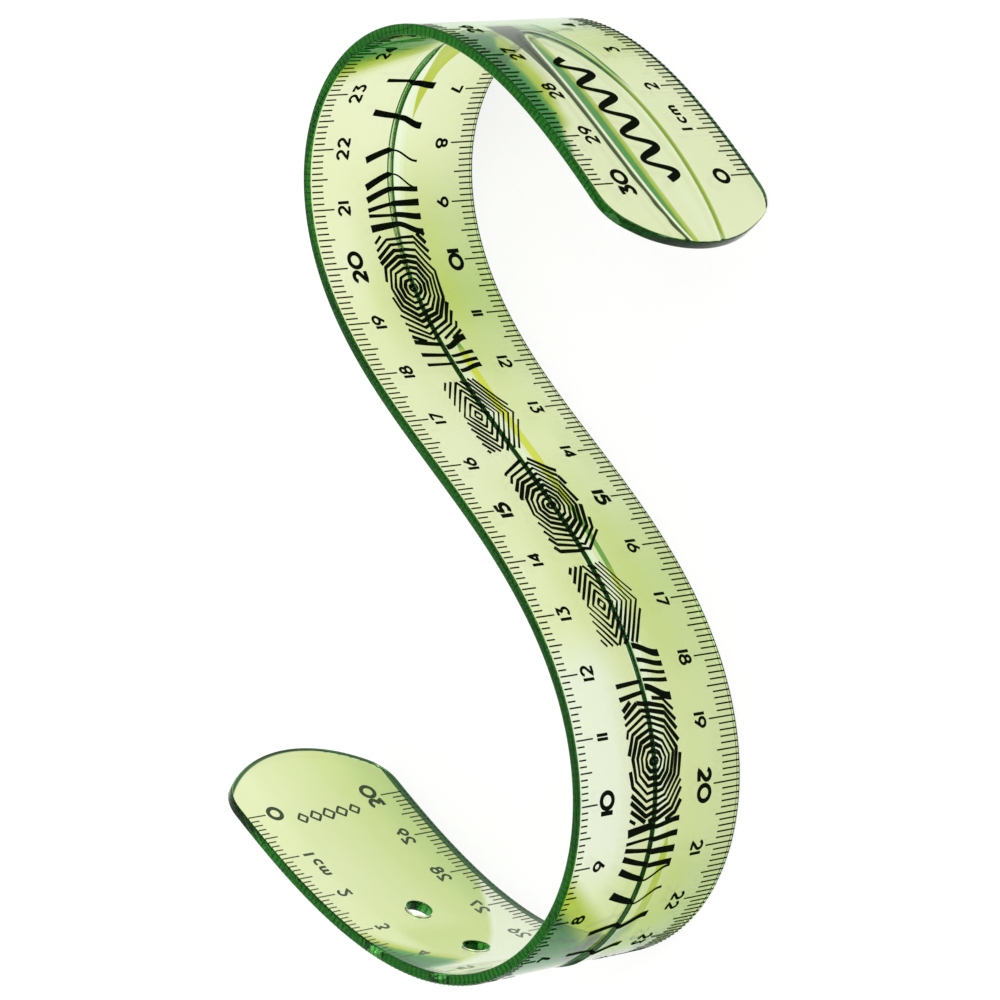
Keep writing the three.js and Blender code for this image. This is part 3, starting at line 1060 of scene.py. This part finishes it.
last_back_tick = int(BACK_PRINT_END) - 1
for upper, edge in ((True, "upper"), (False, "lower")):
    front = tick_solid(last_back_tick + 1, int(SCALE_LENGTH), upper, 1)
    fit_piece(front.make(f"{edge}_ticks", tick_ink), f"ink_{edge}_ticks")
    back = tick_solid(0, last_back_tick, upper, -1)
    fit_piece(back.make(f"{edge}_ticks_back", tick_ink), f"ink_{edge}_ticks_back")
    front = numeral_solid(LAST_BACK_NUMERAL + 1, LAST_NUMERAL, upper, 1)
    fit_piece(front.make(f"{edge}_numerals", black_ink), f"ink_{edge}_numerals")
    back = numeral_solid(0, LAST_BACK_NUMERAL, upper, -1)
    fit_piece(back.make(f"{edge}_numerals_back", black_ink), f"ink_{edge}_numerals_back")

# Bars of the printed pattern: place along, widths left and right of the rib, drops left and right.
BARS_A = [
    (67.7, 0.75, 1.35, -0.3, 1.3),
    (74.7, 1.2, 1.2, -0.9, 2.0),
    (80.6, 1.2, 0.4, 1.6, 2.2),
    (84.7, 1.2, 0.35, 2.1, 2.6),
    (87.2, 1.1, 0.9, 1.7, 0.3),
    (89.7, 0.75, 1.2, 0.9, 0.0),
    (91.6, 0.6, 1.1, -0.1, 0.5),
    (93.2, 1.3, 1.1, 0.5, 1.5),
]
BARS_B = [
    (204.9, 1.4, 0.9, 0.7, -0.5),
    (206.9, 0.55, 1.0, 0.4, -0.2),
    (208.9, 0.8, 1.2, -0.6, 0.4),
    (211.2, 1.0, 1.0, -1.5, 0.3),
    (213.8, 1.2, 0.45, -2.0, -1.6),
    (218.1, 1.4, 0.45, -2.0, -1.9),
    (223.0, 1.1, 1.3, 1.2, -1.3),
    (230.3, 0.7, 1.4, 0.1, -0.6),
]
# Bars on one side of the rib only: place along, width, drop.
UPPER_BARS_A = [(115.3, 0.9, -0.9), (117.5, 0.8, -0.5), (119.3, 0.6, -0.2)]
LOWER_BARS_A = [(116.4, 1.2, -2.2), (118.2, 0.7, -1.0), (119.6, 0.7, -0.9), (121.3, 0.9, -1.4)]
UPPER_BARS_B = [(182.6, 0.8, 0.3), (184.3, 0.8, 0.7)]
LOWER_BARS_B = [
    (177.0, 1.2, 1.6),
    (179.3, 0.9, 1.0),
    (181.0, 0.6, 0.7),
    (182.5, 0.7, 0.4),
    (183.6, 1.3, 1.9),
]


def side_bars(solid, upper, lower):
    for along, wide, drop in upper:
        bar(solid, along, wide, wide, drop, drop, UPPER_HALF)
    for along, wide, drop in lower:
        bar(solid, along, wide, wide, drop, drop, LOWER_HALF)


for name, bars in (("bars_a", BARS_A), ("bars_b", BARS_B)):
    solid = Solid()
    for shape in bars:
        bar(solid, *shape)
    fit_piece(solid.make(f"pattern_{name}", black_ink), f"ink_{name}")

for name, centre, across, from_, to, count, seed, upper, lower in (
    ("rings_a", 104.4, 17.3, 94.8, 114.6, 11, 1, UPPER_BARS_A, LOWER_BARS_A),
    ("rings_b", 150.4, 17.1, 140.6, 160.3, 9, 2, [], []),
    ("rings_c", 194.9, 17.4, 185.4, 204.2, 10, 3, UPPER_BARS_B, LOWER_BARS_B),
):
    solid = Solid()
    rings(solid, centre, across, from_, to, count, seed)
    side_bars(solid, upper, lower)
    fit_piece(solid.make(f"pattern_{name}", black_ink), f"ink_{name}")

DIAMONDS_ACROSS, DIAMOND_COUNT = 15.8, 8
for name, centre, from_, to, heavy in (
    ("diamonds_a", 130.4, 122.9, 138.4, 150),
    ("diamonds_b", 169.4, 162.2, 176.6, 30),
):
    solid = Solid()
    diamonds(solid, centre, DIAMONDS_ACROSS, from_, to, DIAMOND_COUNT, heavy)
    fit_piece(solid.make(f"pattern_{name}", black_ink), f"ink_{name}")

WAVE_FROM, WAVE_TO, WAVE_PLACES, WAVE_HUMPS = 0.0, 28.0, 150, 5
WAVE_ACROSS, WAVE_SLANT, WAVE_SWING = 16.9, 0.05, 2.5
WAVE_STROKE, WAVE_STROKE_SWING, WAVE_STROKE_LEAD = 1.15, 0.25, 0.8
wave = Solid()
path = []
widths = []
for k in range(WAVE_PLACES + 1):
    turned = 2 * math.pi * WAVE_HUMPS * k / WAVE_PLACES
    along = WAVE_FROM + (WAVE_TO - WAVE_FROM) * k / WAVE_PLACES
    path.append((along, WAVE_ACROSS - along * WAVE_SLANT + WAVE_SWING * math.sin(turned)))
    widths.append(WAVE_STROKE + WAVE_STROKE_SWING * math.sin(turned + WAVE_STROKE_LEAD))
ribbon(wave, path, widths, -1)
fit_piece(wave.make("wave_mark", black_ink), "ink_wave_mark")

TIP_MARK_ALONG, TIP_MARK_ACROSS, TIP_MARK_PITCH = 298, 11.9, 2.9
TIP_MARK_SIZE, TIP_MARK_STROKE = 1.25, 0.45
tip_mark = Solid()
for n in range(5):
    across = TIP_MARK_ACROSS + n * TIP_MARK_PITCH
    size = TIP_MARK_SIZE - 0.1 * abs(n - 2)
    corners = [(TIP_MARK_ALONG - size, across), (TIP_MARK_ALONG, across + size)]
    corners += [(TIP_MARK_ALONG + size, across), (TIP_MARK_ALONG, across - size)]
    path = resample(corners, 0.4, closed=True)
    ribbon(tip_mark, path, [TIP_MARK_STROKE] * len(path), 1, closed=True)
fit_piece(tip_mark.make("tip_mark", black_ink), "ink_tip_mark")


# ---- Stage, light and camera ----


# The floor and the lamps are placed in metres. The floor is white mostly by its own soft glow,
# and only a little by the light that falls on it.
FLOOR_HALF = 6.0
FLOOR_GLOW, FLOOR_GREY = 0.78, 0.25
FLOOR_BELOW = 0.2 * MM


def floor_material():
    material, shader = new_material("floor_white")
    shader.inputs["Base Color"].default_value = (FLOOR_GREY, FLOOR_GREY, FLOOR_GREY, 1)
    shader.inputs["Roughness"].default_value = 0.9
    shader.inputs["Specular IOR Level"].default_value = 0.0
    shader.inputs["Emission Color"].default_value = (1, 1, 1, 1)
    shader.inputs["Emission Strength"].default_value = FLOOR_GLOW
    return material


mesh = bpy.data.meshes.new("floor")
floor_corners = [(-FLOOR_HALF, -FLOOR_HALF, 0), (FLOOR_HALF, -FLOOR_HALF, 0)]
floor_corners += [(FLOOR_HALF, FLOOR_HALF, 0), (-FLOOR_HALF, FLOOR_HALF, 0)]
mesh.from_pydata(floor_corners, [], [(0, 1, 2, 3)])
mesh.materials.append(floor_material())
floor = bpy.data.objects.new("floor", mesh)
floor.location.z = -FLOOR_BELOW
bpy.context.scene.collection.objects.link(floor)

world = bpy.data.worlds.new("studio")
bpy.context.scene.world = world
world.use_nodes = True
world.node_tree.nodes["Background"].inputs["Color"].default_value = (1, 1, 1, 1)
world.node_tree.nodes["Background"].inputs["Strength"].default_value = 0.9


def lamp(name, location, target, size, power):
    data = bpy.data.lights.new(name, "AREA")
    data.size = size
    data.energy = power
    light = bpy.data.objects.new(name, data)
    light.location = location
    light.rotation_euler = (Vector(target) - Vector(location)).to_track_quat("-Z", "Y").to_euler()
    bpy.context.scene.collection.objects.link(light)


lamp("key", (0.5, -0.7, 0.9), (0, 0, 0), 0.5, 6.0)
lamp("fill", (-0.8, 0.3, 0.7), (0, 0, 0), 0.6, 3.0)

CAMERA_AT = Vector((5.783, -608.43, 601.96)) * MM
LOOK = Vector((-0.00692, 0.71969, -0.69426)).normalized()
UP = Vector((0.99298, -0.07707, -0.08978))
back = -LOOK
right = UP.cross(back).normalized()
up = back.cross(right)
camera_data = bpy.data.cameras.new("camera")
camera_data.lens = 189.96
camera_data.sensor_width = 36.0
camera_data.clip_start = 0.01
camera = bpy.data.objects.new("camera", camera_data)
turn = Matrix((right, up, back)).transposed().to_4x4()
camera.matrix_world = Matrix.Translation(CAMERA_AT) @ turn
bpy.context.scene.collection.objects.link(camera)
bpy.context.scene.camera = camera
bpy.context.scene.view_settings.view_transform = "Standard"
bpy.context.scene.cycles.max_bounces = 32
bpy.context.scene.cycles.transmission_bounces = 32
bpy.context.scene.cycles.glossy_bounces = 16
